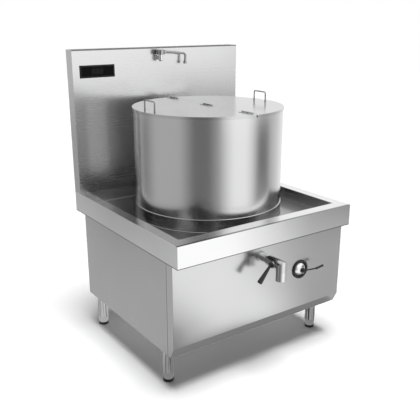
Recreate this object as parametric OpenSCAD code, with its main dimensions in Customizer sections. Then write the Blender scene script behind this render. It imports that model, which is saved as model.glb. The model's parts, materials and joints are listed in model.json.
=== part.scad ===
// Free-standing induction stockpot stove with a hung pot, folding lid, drain valve and swing tap.
// X runs to the right, Y to the back and Z up. The front apron face is at y = 0 before the
// whole stove is centred, and the feet stand on z = 0.

/* [Worktop] */
// Width of the worktop
top_w = 1000; // [960:1:1080]
// Depth of the worktop from front apron to back apron
top_d = 991; // [975:1:1060]
// Height of the worktop rim above the floor
rim_z = 721; // [700:1:760]
// Height of the folded aprons
apron_h = 102; // [90:1:110]
// Width of the hem folded in under the front and back aprons
apron_hem = 15; // [8:1:25]
// Depth of the spill pan below the rim
pan_depth = 60; // [45:1:75]
// Width of the rim left and right of the pan
rim_side = 53; // [45:1:65]
// Width of the rim in front of the pan
rim_front = 70; // [60:1:78]
// Radius of the pan's upright corners
pan_corner_r = 12; // [6:1:20]
// Thickness of the worktop sheet
top_t = 2; // [1.5:0.1:2.5]

/* [Backsplash] */
// Height of the backsplash above the rim
bs_h = 718; // [650:1:800]
// Thickness of the backsplash box
bs_t = 64; // [60:1:76]
// Thickness of the backsplash sheets
bs_sheet = 1.5; // [1:0.1:2]
// Width of the flange folded in round the backsplash cover
bs_flange = 18; // [12:1:24]

/* [Cabinet] */
// Distance of the front panel behind the apron face
front_set = 45; // [38:1:52]
// Distance of the back panel in front of the worktop's back edge
back_set = 102; // [96:1:110]
// Height of the fold above the kick strip
panel_z = 234; // [225:1:245]
// Thickness of the cabinet sheets
panel_t = 1.5; // [1:0.1:2]
// Length of the front panel's side returns
return_l = 46; // [40:1:55]
// Width of the flanges folded in round the side panels
panel_flange = 16; // [12:1:18]
// Height of the slanted kick strip below the front panel
kick_h = 51; // [46:1:58]
// How far the kick strip leans back
kick_in = 25; // [18:1:32]
// Width of the chassis tubes
rail_w = 25; // [22:1:25]

/* [Legs and feet] */
// Radius of the leg tubes
leg_r = 26; // [22:0.5:28]
// Wall of the leg tubes
leg_t = 1.5; // [1.2:0.1:2.5]
// Distance of the leg axes in from the worktop's sides
leg_in_x = 54; // [50:1:60]
// Distance of the front leg axes behind the apron face
leg_front_y = 178; // [165:1:190]
// Distance of the back leg axes in front of the worktop's back edge
leg_back_y = 143; // [138:1:150]
// Side of the square leg plates
leg_plate = 80; // [70:1:80]
// Thickness of the leg plates
leg_plate_t = 4; // [3:0.5:5]
// Height of the threaded bush at the bottom of each leg
bush_h = 24; // [16:1:30]
// Height of the tapered metal foot
foot_h = 34; // [28:1:40]
// Height of the black sole
sole_h = 13; // [10:1:16]
// Radius of the sole
sole_r = 24.5; // [20:0.5:26]
// Radius of the foot's screw
foot_screw_r = 8; // [6:0.5:9]

/* [Pot] */
// Outside radius of the pot
pot_r = 361; // [345:1:363]
// Height of the lid's top face above the floor
lid_z = 1186; // [1120:1:1240]
// Height of the pot's outer bottom above the floor
pot_bottom_z = 505; // [500:1:512]
// Wall of the pot
pot_t = 2; // [1.5:0.1:3]
// Radius of the pot's lower corner
pot_corner_r = 22; // [15:1:24]
// Gap between the pot and the backsplash
pot_gap = 70; // [66:1:76]
// Radius of the wire bead round the pot's mouth
mouth_bead_r = 4; // [3:0.5:5]
// Radius of the support bead on the collar
seam_bead_r = 2.2; // [1.8:0.1:5]
// Thickness of the welded collar
collar_t = 2; // [1.5:0.1:3]
// Width of the collar's foot flange on the pan
collar_flange = 4; // [3:1:14]
// Thickness of the induction base disc
disc_t = 6; // [4:1:8]
// Radius of the induction base disc
disc_r = 320; // [290:1:325]

/* [Lid] */
// Thickness of the lid sheets
lid_t = 1.5; // [1.2:0.1:2]
// Height of the turned-down lid lip
lid_lip = 13; // [9:1:16]
// Gap between the two lid halves
lid_split = 1.2; // [0.8:0.1:2]
// Place of the split right of the lid's middle
split_x = 6; // [0:0.5:10]
// Distance between the lid hinges
hinge_pitch = 305; // [285:1:310]
// Length of one lid hinge
hinge_l = 80; // [60:1:84]
// Radius of the hinge barrels
hinge_r = 3.6; // [3.2:0.1:4.5]
// Radius of the hinge pins
hinge_pin_r = 1.5; // [1.2:0.1:1.8]
// Width of a hinge leaf
hinge_leaf_w = 20; // [16:1:26]
// Distance of each lid handle inside the pot's wall
handle_in = 38; // [30:1:80]
// Length of a lid handle
handle_l = 88; // [70:1:110]
// Height of a lid handle
handle_h = 45; // [40:1:56]
// Radius of the handle rod
handle_r = 3.5; // [3:0.5:4.5]

/* [Drain valve] */
// Height of the drain axis above the pot's outer bottom
drain_up = 37; // [34:1:42]
// Outside radius of the valve body and the spout
drain_r = 25.4; // [24.5:0.1:27]
// Wall of the spout tube
spout_t = 2.4; // [1.8:0.1:3]
// Distance of the spout axis in front of the apron face
spout_out = 67; // [66:1:74]
// Length of the spout below the drain axis
spout_drop = 68; // [50:1:90]
// Outside radius of the drain pipe
pipe_r = 21.2; // [20:0.1:21.6]
// Wall of the drain pipe
pipe_t = 2.6; // [2:0.1:2.8]
// Outside radius of the lock ring behind the front panel
lock_r = 34; // [28:1:40]
// Thickness of the lock ring
lock_t = 4; // [3:0.5:6]
// Radius of the valve ball
ball_r = 16; // [15:0.1:16.4]
// Radius of the valve's flow bore
valve_bore_r = 12; // [8:0.1:12]
// Distance of the ball centre in front of the apron face
ball_out = 32; // [30:0.5:33]
// Radius of the valve stem
stem_r = 5; // [4:0.1:6]
// Radius of the stem boss
boss_r = 16.5; // [14:0.1:18]
// Reach of the stem boss from the drain axis
boss_l = 26; // [25.5:0.5:30]
// Length of the valve lever
lever_l = 96; // [80:1:120]
// Angle between the lever and the stem, in degrees
lever_flare = 49; // [40:1:60]
// Radius of the lever at the stem
lever_r = 5.5; // [4:0.1:6]
// Radius of the lever grip at its end
grip_r = 12; // [9:0.5:13]

/* [Power selector] */
// Distance of the selector from the stove's middle
sel_x = 225; // [200:1:260]
// Height of the selector axis above the panels' lower edges
sel_up = 199; // [170:1:240]
// Outside radius of the black ring
ring_r = 46.5; // [44:0.5:54]
// Radius of the ring's round section
ring_tube_r = 5.5; // [5:0.5:10]
// Radius of the selector shaft
sel_shaft_r = 5; // [4:0.5:6]
// Radius of the knob's hub
hub_r = 12.5; // [10:0.5:14]
// Distance of the hub's front face from the front panel
hub_out = 30; // [26:1:36]
// Reach of the selector lever from its axis
sel_reach = 100; // [85:1:110]
// Radius of the selector lever rod
sel_rod_r = 3.5; // [2.5:0.1:4.5]

/* [Swing tap] */
// Place of the tap left of the stove's middle
tap_x = -20; // [-80:1:-10]
// Distance of the tap axis in front of the backsplash
tap_out = 32; // [30:1:44]
// Distance of the tap's top below the backsplash's top
tap_down = 9; // [6:1:30]
// Radius of the turning head
head_r = 19.8; // [18:0.1:22]
// Height of the turning head
head_h = 26; // [22:1:32]
// Height of the tap body under the head
tap_body_h = 34; // [30:1:44]
// Radius of the spout tube
arm_r = 6; // [5:0.1:7]
// Wall of the spout tube
arm_t = 1.2; // [0.8:0.1:1.6]
// Length of the straight arm
arm_l = 118; // [100:1:150]
// Droop of the arm in degrees
arm_droop = 5; // [0:1:10]
// Bend radius of the arm
arm_bend_r = 15; // [13:1:20]
// Length of the spout's straight end
arm_end_l = 36; // [26:1:50]
// Radius of the aerator
aerator_r = 9; // [8:0.1:10.5]

/* [Display] */
// Width of the display frame
disp_w = 188; // [170:1:200]
// Height of the display frame
disp_h = 61; // [52:1:66]
// Distance of the display from the backsplash's left edge
disp_x = 38; // [30:1:60]
// Distance of the display below the backsplash's top
disp_down = 75; // [60:1:120]
// Border of the display frame
disp_border = 11; // [8:1:14]
// Depth of the display frame behind the sheet
disp_depth = 24; // [18:1:30]

/* [Induction unit] */
// Outer radius of the winding
coil_r = 285; // [250:1:295]
// Inner radius of the winding
coil_in_r = 80; // [60:1:100]
// Turns of the winding
coil_turns = 20; // [12:1:24]
// Thickness of the winding
coil_t = 9; // [7:1:11]
// Thickness of the insulation blanket
blanket_t = 10; // [8:1:14]
// Thickness of the winding tray
tray_t = 6; // [4:1:8]
// Number of ferrite bars
ferrite_n = 12; // [8:1:16]
// Width of the inverter case
case_w = 220; // [190:1:225]
// Depth of the inverter case
case_d = 400; // [340:1:440]
// Height of the inverter case
case_h = 190; // [178:1:200]
// Side of the square cooling fan
fan_w = 172; // [150:1:176]
// Thickness of the cooling fan
fan_t = 51; // [38:1:56]
// Number of fan blades
fan_blades = 7; // [5:1:9]

/* [Connections] */
// Radius of the water inlet's threaded end
inlet_r = 10.45; // [8:0.05:11]
// Length of the water inlet's threaded end
inlet_l = 20; // [16:1:28]
// Radius of the mains cable bore in the gland
gland_bore_r = 9; // [7:0.5:11]
// Radius of the gland's thread
gland_r = 16; // [14:0.5:18]

/* [Hidden] */
$fn = 64;
round_fn = 160;

// Shared clearances
over = 1;
seat_gap = 0.3;
run_gap = 0.05;

// Screw heads
screw_r = 4;
screw_h = 2.2;

// Levels
apron_z = rim_z - apron_h;
pan_z = rim_z - pan_depth;
pan_under = pan_z - top_t;
bs_z = rim_z + bs_h;
floor_z = panel_z - kick_h;
rail_z = pan_under - rail_w;
floor_top = floor_z + panel_t;

// Plan places
half_w = top_w / 2;
side_x = half_w - top_t;
bs_y = top_d - bs_t;
back_y = top_d - back_set;
return_y = front_set + return_l;
pot_y = bs_y - pot_gap - pot_r;
leg_x = half_w - leg_in_x;
leg_ys = [leg_front_y, top_d - leg_back_y];
spout_y = -spout_out;
mid_y = (top_d + screw_h + spout_y - drain_r) / 2;

// Pot and collar
collar_in = pot_r + seat_gap;
collar_out = collar_in + collar_t;
lid_under = lid_z - lid_t;
pot_mouth_z = lid_under - seat_gap;
drain_z = pot_bottom_z + drain_up;
disc_z = pot_bottom_z - disc_t;
fillet_r = collar_flange;

// Lid
lip_in = pot_r + mouth_bead_r / 2 + seat_gap;
lid_r = lip_in + lid_t;
handle_x = pot_r - handle_in;
hinge_z = lid_z + hinge_r + seat_gap;
hinge_mid_y = pot_y + hinge_l / 10;
leaf_t = lid_t;
knuckle = hinge_l / 5;
corner_gap = lid_split * 3;

// Drain valve
ball_y = -ball_out;
chamber_r = ball_r + pipe_t;
seat_r = chamber_r - run_gap;
seat_wall = spout_t * 1.2;
chamber_front = ball_y - chamber_r;
chamber_back = ball_y + chamber_r;
valve_front = chamber_front - seat_wall;
valve_back = chamber_back + pipe_r * 1.2;
elbow_z = drain_z - drain_r;
stem_start = ball_r - spout_t;
hub_z = boss_l + seat_gap;
hub_t = lever_r * 1.3;
lever_hub_r = lever_r * 2.1;

// Power selector
sel_z = panel_z + sel_up;
ring_mid_r = ring_r - ring_tube_r;
ring_y = front_set - ring_tube_r * 0.7;
dome_r = ring_mid_r - ring_tube_r - seat_gap;
dome_rise = dome_r * 0.45;
dome_back = front_set - seat_gap;
hub_y = front_set - hub_out;
shaft_hole_r = sel_shaft_r + seat_gap;
switch_w = sel_shaft_r * 10;
switch_d = sel_shaft_r * 7;
sel_bend = sel_reach * 0.62;
sel_fwd = sel_reach * 0.21;
sel_rise = sel_reach * 0.045;
sel_grip_r = sel_rod_r * 1.5;

// Swing tap
tap_y = bs_y - tap_out;
tap_top = bs_z - tap_down;
head_z = tap_top - head_h;
tap_bottom = head_z - seat_gap - tap_body_h;
tap_body_r = head_r * 0.62;
pivot_r = head_r * 0.45;
pivot_h = head_h * 0.7;
neck_z = tap_bottom + tap_body_h * 0.5;
neck_r = tap_body_r * 0.85;
rose_r = inlet_r * 1.25;
rose_t = bs_sheet * 3;
arm_z = tap_top - head_h * 0.42;
nut_r = arm_r * 1.6;
nut_l = arm_r * 1.2;
arm_root = head_r + nut_l * 0.3;
aerator_lip = aerator_r * 0.3;
tail_r = inlet_r;
tail_l = bs_t * 0.4;
water_r = tail_r * 0.75;
pipe_y = bs_y + tail_l + water_r * 1.1;
inlet_top = apron_z - apron_hem;

// Display
disp_left = -half_w + disp_x;
disp_z = bs_z - disp_down;
frame_out = bs_sheet * 2;
win_t = 3;
case_wall = 2;

// Induction unit
blanket_z = disc_z - blanket_t;
coil_z = blanket_z - coil_t;
tray_z = coil_z - tray_t;
ferrite_t = tray_t;
ferrite_z = tray_z - ferrite_t;
beam_z = ferrite_z - rail_w;
beam_x = coil_r * 0.62;
coil_pitch = (coil_r - coil_in_r) / coil_turns;
case_x = -leg_x + rail_w;
case_y = back_y - panel_t - fan_t - case_d;
case_z = floor_top + rail_w;
fan_x = case_x + case_w / 2;
fan_z = case_z + fan_w / 2 + seat_gap;
fan_y = back_y - panel_t - fan_t;
fan_hole_r = fan_w * 0.46;
rotor_r = fan_hole_r - over;
fan_hub_r = fan_w * 0.2;
motor_t = fan_t * 0.35;
axle_r = fan_w * 0.02;
gland_x = leg_x - rail_w * 4;
gland_z = panel_z + rail_w * 3;
gland_nut_r = gland_r * 1.3;
gland_out = gland_r * 1.5;
gland_in = gland_r * 0.9;
louver_n = 7;
louver_w = rail_w * 6;
louver_h = rail_w * 0.28;
louver_gap = rail_w * 0.9;

// Moves a piece from the apron-based frame to the part's frame
module placed() {
    translate([0, -mid_y, 0]) children();
}

// Box between two corners
module span(lo, hi) {
    translate(lo) cube(hi - lo);
}

// Rounded rectangle from squares and discs, centred
module round_rect(w, d, r) {
    square([w - 2 * r, d], center = true);
    square([w, d - 2 * r], center = true);
    for (sx = [-1, 1], sy = [-1, 1])
        translate([sx * (w / 2 - r), sy * (d / 2 - r)]) circle(r);
}

// Cylinder whose axis runs along +Y from y0 to y1
module along_y(x, z, y0, y1, r) {
    translate([x, y1, z]) rotate([90, 0, 0]) cylinder(r = r, h = y1 - y0);
}

module ring(r_out, r_in, h) {
    difference() {
        cylinder(r = r_out, h = h);
        translate([0, 0, -over]) cylinder(r = r_in, h = h + 2 * over);
    }
}

// Frame of the valve stem: local Z points out to the left along the stem, local X up
module on_stem() {
    translate([0, ball_y, drain_z]) rotate([0, -90, 0]) children();
}

module worktop() {
    pan_w = top_w - 2 * rim_side;
    pan_d = bs_y - rim_front;
    pan_mid = rim_front + pan_d / 2;
    color("gainsboro") placed() difference() {
        union() {
            difference() {
                span([-half_w, 0, apron_z], [half_w, top_d, rim_z]);
                span([-side_x, top_t, apron_z - over], [side_x, top_d - top_t, rim_z - top_t]);
            }
            for (y = [top_t, top_d - apron_hem])
                span([-side_x, y, apron_z], [side_x, y + apron_hem - top_t, apron_z + top_t]);
            translate([0, pan_mid, pan_under]) linear_extrude(pan_depth + top_t - over / 2)
                round_rect(pan_w + 2 * top_t, pan_d + 2 * top_t, pan_corner_r + top_t);
        }
        translate([0, pan_mid, pan_z]) linear_extrude(pan_depth + over)
            round_rect(pan_w, pan_d, pan_corner_r);
        translate([0, pot_y, pan_under - over]) cylinder(r = collar_in, h = top_t + 2 * over, $fn = round_fn);
        translate([tap_x, pipe_y, rim_z - top_t - over])
            cylinder(r = water_r + over, h = top_t + 2 * over);
    }
}

module pot_collar() {
    color("silver") placed() translate([0, pot_y, pan_z]) rotate_extrude($fn = round_fn) {
        translate([collar_in, 0]) square([collar_t, pan_depth]);
        difference() {
            translate([collar_in, 0]) square([collar_t + fillet_r, fillet_r]);
            translate([collar_out + fillet_r, fillet_r + panel_t]) circle(fillet_r);
        }
    }
}

module pot() {
    h = pot_mouth_z - pot_bottom_z;
    inner_r = pot_corner_r - pot_t;
    color("silver") placed() difference() {
        translate([0, pot_y, pot_bottom_z]) rotate_extrude($fn = round_fn) {
            difference() {
                union() {
                    translate([0, 0]) square([pot_r - pot_corner_r, h]);
                    translate([0, pot_corner_r]) square([pot_r, h - pot_corner_r - mouth_bead_r]);
                    translate([pot_r - pot_corner_r, pot_corner_r]) circle(pot_corner_r);
                    translate([pot_r - mouth_bead_r / 2, h - mouth_bead_r]) circle(mouth_bead_r);
                }
                translate([0, pot_t]) square([pot_r - pot_corner_r, h]);
                translate([0, pot_corner_r]) square([pot_r - pot_t, h]);
                translate([pot_r - pot_corner_r, pot_corner_r]) circle(inner_r);
            }
            translate([pot_r - pot_t, rim_z - pot_bottom_z])
                square([pot_t + collar_t + seat_gap, seam_bead_r]);
            translate([collar_out, rim_z - pot_bottom_z + seam_bead_r / 2]) circle(seam_bead_r / 2);
        }
        along_y(0, drain_z, pot_y - pot_r - over, pot_y - pot_r + pot_corner_r, pipe_r);
    }
}

module pot_base_disc() {
    color("dimgray") placed() translate([0, pot_y, disc_z]) cylinder(r = disc_r, h = disc_t, $fn = round_fn);
}

module drain_pipe() {
    y1 = pot_y - pot_r + pot_t * 2;
    color("silver") placed() difference() {
        along_y(0, drain_z, chamber_back, y1, pipe_r);
        along_y(0, drain_z, chamber_back - over, y1 + over, pipe_r - pipe_t);
    }
}

// Outline of the front panel's side return, leaning back below the fold
module return_outline() {
    polygon([[front_set, panel_z], [front_set + kick_in, floor_z], [return_y, floor_z],
             [return_y, pan_under], [front_set, pan_under]]);
}

// Front panel, kick strip and side returns folded from one sheet
module front_panel() {
    y1 = front_set + panel_t;
    color("gainsboro") placed() difference() {
        union() {
            translate([-side_x, 0, 0]) rotate([90, 0, 90]) linear_extrude(2 * side_x)
                polygon([[front_set, panel_z], [front_set + kick_in, floor_z], [y1 + kick_in, floor_z],
                         [y1, panel_z], [y1, pan_under], [front_set, pan_under]]);
            for (x = [-side_x, side_x - panel_t])
                translate([x, 0, 0]) rotate([90, 0, 90]) linear_extrude(panel_t) return_outline();
        }
        along_y(0, drain_z, front_set - over, y1 + over, pipe_r + seat_gap);
        along_y(sel_x, sel_z, front_set - over, y1 + over, shaft_hole_r);
    }
}

// Side panel with flanges folded in at the front, back and top
module side_panel(sx) {
    y0 = return_y + seat_gap;
    y1 = back_y - panel_t;
    x0 = side_x - panel_flange;
    mirror([sx < 0 ? 1 : 0, 0, 0]) {
        span([side_x - panel_t, y0, floor_z], [side_x, y1, pan_under]);
        span([x0, y0, floor_top], [side_x, y0 + panel_t, pan_under]);
        span([x0, y1 - panel_t, floor_top], [side_x, y1, pan_under]);
        span([x0, y0, pan_under - panel_t], [side_x, y1, pan_under]);
    }
}

module left_panel() {
    color("darkgray") placed() side_panel(-1);
}

module right_panel() {
    color("darkgray") placed() side_panel(1);
}

module back_panel() {
    y0 = back_y - panel_t;
    color("darkgray") placed() difference() {
        span([-side_x, y0, floor_z], [side_x, back_y, pan_under]);
        for (a = [0 : 45 : 315], r = [fan_hole_r * 0.45, fan_hole_r * 0.78])
            translate([fan_x, 0, fan_z]) rotate([0, a, 0])
                along_y(0, r, y0 - over, back_y + over, fan_hole_r * 0.13);
        along_y(fan_x, fan_z, y0 - over, back_y + over, fan_hole_r * 0.18);
        for (sx = [0, 1], i = [0 : louver_n - 1])
            span([sx * louver_w * 1.3, y0 - over, gland_z + louver_w + i * louver_gap],
                 [sx * louver_w * 1.3 + louver_w, back_y + over,
                  gland_z + louver_w + i * louver_gap + louver_h]);
        along_y(gland_x, gland_z, y0 - over, back_y + over, gland_r);
    }
}

// Floor sheet between the side panels, with intake slots
module floor_panel() {
    x1 = side_x - panel_t;
    y0 = front_set + kick_in + 2 * panel_t;
    slot_y = leg_front_y + louver_w;
    color("dimgray") placed() difference() {
        span([-x1, y0, floor_z], [x1, back_y - panel_t, floor_top]);
        for (i = [0 : louver_n - 1])
            span([louver_w * 0.4, slot_y + i * louver_gap, floor_z - over],
                 [louver_w * 1.4, slot_y + i * louver_gap + louver_h, floor_top + over]);
    }
}

module frame_rails() {
    x0 = leg_x - rail_w / 2;
    x1 = leg_x + rail_w / 2;
    y_back = back_y - panel_t;
    color("gray") placed() {
        for (sx = [-1, 1]) mirror([sx < 0 ? 1 : 0, 0, 0]) {
            span([x0, return_y, rail_z], [x1, y_back, pan_under]);
            span([x0, leg_ys[0] - rail_w * 2, floor_top], [x1, leg_ys[1] + rail_w / 2, floor_top + rail_w]);
        }
        span([-x0, return_y, rail_z], [x0, return_y + rail_w, pan_under]);
        span([-x0, y_back - rail_w, rail_z], [x0, y_back, pan_under]);
        for (y = leg_ys)
            span([-x0, y - rail_w / 2, floor_top], [x0, y + rail_w / 2, floor_top + rail_w]);
    }
}

module frame_posts() {
    color("gray") placed() for (x = [-leg_x, leg_x], y = leg_ys)
        span([x - rail_w / 2, y - rail_w / 2, floor_top + rail_w],
             [x + rail_w / 2, y + rail_w / 2, rail_z]);
}

// Leg tube with its plate on top and a threaded bush at the bottom
module legs() {
    bottom = sole_h + foot_h + seat_gap;
    color("lightgray") placed() for (x = [-leg_x, leg_x], y = leg_ys) translate([x, y, 0]) {
        difference() {
            union() {
                translate([0, 0, bottom]) cylinder(r = leg_r, h = floor_z - leg_plate_t - bottom);
                translate([-leg_plate / 2, -leg_plate / 2, floor_z - leg_plate_t])
                    cube([leg_plate, leg_plate, leg_plate_t]);
            }
            translate([0, 0, bottom - over]) cylinder(r = foot_screw_r + run_gap, h = bush_h + 2 * over);
            translate([0, 0, bottom + bush_h])
                cylinder(r = leg_r - leg_t, h = floor_z - leg_plate_t - bottom - bush_h);
        }
    }
}

// Tapered metal foot with its screw
module foot(ix, iy) {
    x = ix * leg_x;
    top = sole_h + foot_h;
    color("lightgray") placed() translate([x, leg_ys[iy], 0]) {
        translate([0, 0, sole_h]) cylinder(r1 = sole_r * 0.94, r2 = leg_r, h = foot_h * 0.8);
        translate([0, 0, sole_h + foot_h * 0.8]) cylinder(r = leg_r, h = foot_h * 0.2);
        translate([0, 0, top]) cylinder(r = foot_screw_r, h = bush_h + foot_screw_r);
    }
}

module sole(ix, iy) {
    x = ix * leg_x;
    edge = sole_h / 4;
    color("black") placed() translate([x, leg_ys[iy], 0]) rotate_extrude() {
        square([sole_r - edge, sole_h]);
        translate([0, edge]) square([sole_r, sole_h - edge]);
        translate([sole_r - edge, edge]) circle(edge);
    }
}

module foot_front_left() { foot(-1, 0); }
module foot_front_right() { foot(1, 0); }
module foot_back_left() { foot(-1, 1); }
module foot_back_right() { foot(1, 1); }
module sole_front_left() { sole(-1, 0); }
module sole_front_right() { sole(1, 0); }
module sole_back_left() { sole(-1, 1); }
module sole_back_right() { sole(1, 1); }

// Front shell of the backsplash with side and top returns and the display cut-out
module backsplash_front() {
    y1 = top_d - bs_sheet;
    inset = disp_border / 2;
    color("whitesmoke") placed() difference() {
        span([-half_w, bs_y, rim_z], [half_w, y1, bs_z]);
        span([-half_w + bs_sheet, bs_y + bs_sheet, rim_z - over],
             [half_w - bs_sheet, y1 + over, bs_z - bs_sheet]);
        span([disp_left + inset, bs_y - over, disp_z - disp_h + inset],
             [disp_left + disp_w - inset, bs_y + bs_sheet + over, disp_z - inset]);
        along_y(tap_x, neck_z, bs_y - over, bs_y + bs_sheet + over, tail_r);
    }
}

// Back cover of the backsplash, a shallow lid with flanges that slip inside the shell
module backsplash_cover() {
    y0 = top_d - bs_flange;
    x0 = half_w - bs_sheet;
    y1 = top_d - bs_sheet;
    color("darkgray") placed() difference() {
        union() {
            span([-half_w, y1, rim_z], [half_w, top_d, bs_z]);
            span([-x0, y0, rim_z], [x0, y1, bs_z - bs_sheet]);
        }
        span([-x0 + bs_sheet, y0 - over, rim_z - over],
             [x0 - bs_sheet, y1, bs_z - 2 * bs_sheet]);
    }
}

module display_frame() {
    inset = disp_border / 2;
    color("black") placed() difference() {
        union() {
            span([disp_left, bs_y - frame_out, disp_z - disp_h], [disp_left + disp_w, bs_y, disp_z]);
            span([disp_left + inset, bs_y, disp_z - disp_h + inset],
                 [disp_left + disp_w - inset, bs_y + disp_depth, disp_z - inset]);
        }
        span([disp_left + disp_border, bs_y - frame_out - over, disp_z - disp_h + disp_border],
             [disp_left + disp_w - disp_border, bs_y + disp_depth + over, disp_z - disp_border]);
    }
}

module display_window() {
    color([0.05, 0.05, 0.06]) placed()
        span([disp_left + disp_border, bs_y - frame_out / 2, disp_z - disp_h + disp_border],
             [disp_left + disp_w - disp_border, bs_y - frame_out / 2 + win_t, disp_z - disp_border]);
}

// Display board with three digit blocks behind the window
module display_board() {
    y0 = bs_y - frame_out / 2 + win_t;
    digit_t = win_t * 3;
    win_w = disp_w - 2 * disp_border;
    digit_w = win_w / 6;
    color("darkgreen") placed() {
        span([disp_left + disp_border, y0 + digit_t, disp_z - disp_h + disp_border],
             [disp_left + disp_w - disp_border, y0 + digit_t + case_wall, disp_z - disp_border]);
        for (i = [0 : 2])
            span([disp_left + disp_border + win_w / 2 + (i - 1.4) * digit_w * 1.1, y0,
                  disp_z - disp_h + disp_border * 1.3],
                 [disp_left + disp_border + win_w / 2 + (i - 1.4) * digit_w * 1.1 + digit_w,
                  y0 + digit_t, disp_z - disp_border * 1.3]);
    }
}

// Fixed tap body: wall rose, neck, valve barrel, pivot post and threaded tail
module tap_body() {
    color("silver") placed() difference() {
        union() {
            along_y(tap_x, neck_z, bs_y - rose_t, bs_y, rose_r);
            along_y(tap_x, neck_z, tap_y, bs_y - rose_t, neck_r);
            along_y(tap_x, neck_z, bs_y, bs_y + tail_l, tail_r);
            translate([tap_x, tap_y, tap_bottom + tap_body_r * 0.5])
                cylinder(r = tap_body_r, h = tap_body_h - tap_body_r * 0.5);
            translate([tap_x, tap_y, tap_bottom]) cylinder(r = tap_body_r * 0.55, h = tap_body_r);
            translate([tap_x, tap_y, tap_bottom + tap_body_r * 0.2])
                cylinder(r1 = tap_body_r * 0.7, r2 = tap_body_r, h = tap_body_r * 0.3);
            translate([tap_x, tap_y, head_z - seat_gap]) cylinder(r = pivot_r, h = seat_gap + pivot_h);
        }
        along_y(tap_x, neck_z, tap_y, bs_y + tail_l + over, tail_r * 0.6);
        translate([tap_x, tap_y, neck_z]) cylinder(r = pivot_r * 0.55, h = tap_top - neck_z);
    }
}

// Turning head that sits over the pivot post and feeds the spout arm
module tap_head() {
    dome = head_h * 0.12;
    color("silver") placed() difference() {
        union() {
            translate([tap_x, tap_y, head_z]) cylinder(r = head_r, h = head_h - dome);
            translate([tap_x, tap_y, tap_top - dome])
                cylinder(r1 = head_r, r2 = head_r - dome * 1.4, h = dome);
            on_arm() rotate([0, -90, 0]) cylinder(r = nut_r * 0.8, h = arm_root);
        }
        translate([tap_x, tap_y, head_z - over])
            cylinder(r = pivot_r + run_gap, h = pivot_h + seat_gap + over);
        on_arm() translate([over, 0, 0]) rotate([0, -90, 0])
            cylinder(r = arm_r - arm_t, h = arm_root + over);
    }
}

// Centre line of the spout: straight arm, bend and straight end, as one rod of radius r
module arm_rod(r, more) {
    rotate([0, 90, 0]) translate([0, 0, -more]) cylinder(r = r, h = arm_l + more);
    translate([arm_l, 0, -arm_bend_r]) rotate([90, 0, 0])
        rotate_extrude(angle = 90) translate([arm_bend_r, 0]) circle(r);
    translate([arm_l + arm_bend_r, 0, -arm_bend_r - arm_end_l - more])
        cylinder(r = r, h = arm_end_l + more);
}

// Frame of the drooping arm, its origin at the head's outlet
module on_arm() {
    translate([tap_x, tap_y, arm_z]) rotate([0, arm_droop, 0]) translate([arm_root, 0, 0]) children();
}

module tap_spout() {
    color("silver") placed() on_arm() difference() {
        union() {
            arm_rod(arm_r, 0);
            rotate([0, 90, 0]) cylinder(r = nut_r, h = nut_l, $fn = 6);
        }
        arm_rod(arm_r - arm_t, over);
    }
}

module aerator() {
    color("silver") placed() on_arm()
        translate([arm_l + arm_bend_r, 0, -arm_bend_r - arm_end_l - aerator_lip]) difference() {
            cylinder(r = aerator_r, h = aerator_r * 1.6);
            translate([0, 0, aerator_lip]) cylinder(r = arm_r + run_gap, h = 2 * aerator_r);
            translate([0, 0, -over]) cylinder(r = arm_r - arm_t, h = aerator_r);
        }
}

// Water pipe inside the backsplash, its lock nut and the threaded end under the worktop
module water_pipe() {
    nut = tail_r * 1.6;
    color("peru") placed() {
        difference() {
            union() {
                translate([tap_x, pipe_y, inlet_top]) cylinder(r = water_r, h = neck_z - inlet_top);
                translate([tap_x, pipe_y, neck_z]) sphere(r = water_r);
                along_y(tap_x, neck_z, bs_y + tail_l, pipe_y, water_r);
                translate([tap_x, pipe_y, inlet_top]) cylinder(r = nut, h = nut / 2, $fn = 6);
                translate([tap_x, pipe_y, inlet_top - inlet_l]) cylinder(r = inlet_r, h = inlet_l);
            }
            translate([tap_x, pipe_y, inlet_top - inlet_l - over])
                cylinder(r = water_r * 0.75, h = neck_z - inlet_top + inlet_l);
        }
        difference() {
            along_y(tap_x, neck_z, bs_y + bs_sheet, bs_y + bs_sheet + nut / 2, nut);
            along_y(tap_x, neck_z, bs_y, bs_y + bs_sheet + nut, tail_r);
        }
    }
}

// Ring that locks the drain pipe to the back of the front panel
module drain_lock_ring() {
    y0 = front_set + panel_t;
    color("silver") placed() difference() {
        along_y(0, drain_z, y0, y0 + lock_t, lock_r);
        along_y(0, drain_z, y0 - over, y0 + lock_t + over, pipe_r);
    }
}

// One side of the mitre plane between the elbow's level leg (1) and its upright leg (-1)
module mitre_side(dir) {
    big = 4 * drain_r;
    translate([0, spout_y, drain_z]) rotate([45, 0, 0])
        translate([-big, dir > 0 ? 0 : -2 * big, -big]) cube([2 * big, 2 * big, 2 * big]);
}

// Mitred elbow as a solid rod, level to y1 and upright down to z0
module elbow_rod(r, y1, z0) {
    intersection() {
        along_y(0, drain_z, spout_y - 2 * drain_r, y1, r);
        mitre_side(1);
    }
    intersection() {
        translate([0, spout_y, z0]) cylinder(r = r, h = drain_z - z0 + 2 * drain_r);
        mitre_side(-1);
    }
}

// Casting with the pipe socket, ball chamber, stem boss and the mitred elbow
module valve_body() {
    color("silver") placed() difference() {
        union() {
            elbow_rod(drain_r, valve_back, elbow_z);
            on_stem() cylinder(r = boss_r, h = boss_l);
        }
        difference() {
            elbow_rod(drain_r - spout_t, valve_front, elbow_z - over);
            along_y(0, drain_z, valve_front, ball_y, chamber_r + seat_wall);
        }
        along_y(0, drain_z, valve_front - over, chamber_front + over, valve_bore_r);
        along_y(0, drain_z, chamber_front, chamber_back + over, chamber_r);
        along_y(0, drain_z, chamber_back, valve_back + over, pipe_r);
        on_stem() cylinder(r = stem_r + run_gap, h = boss_l + over);
    }
}

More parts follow.
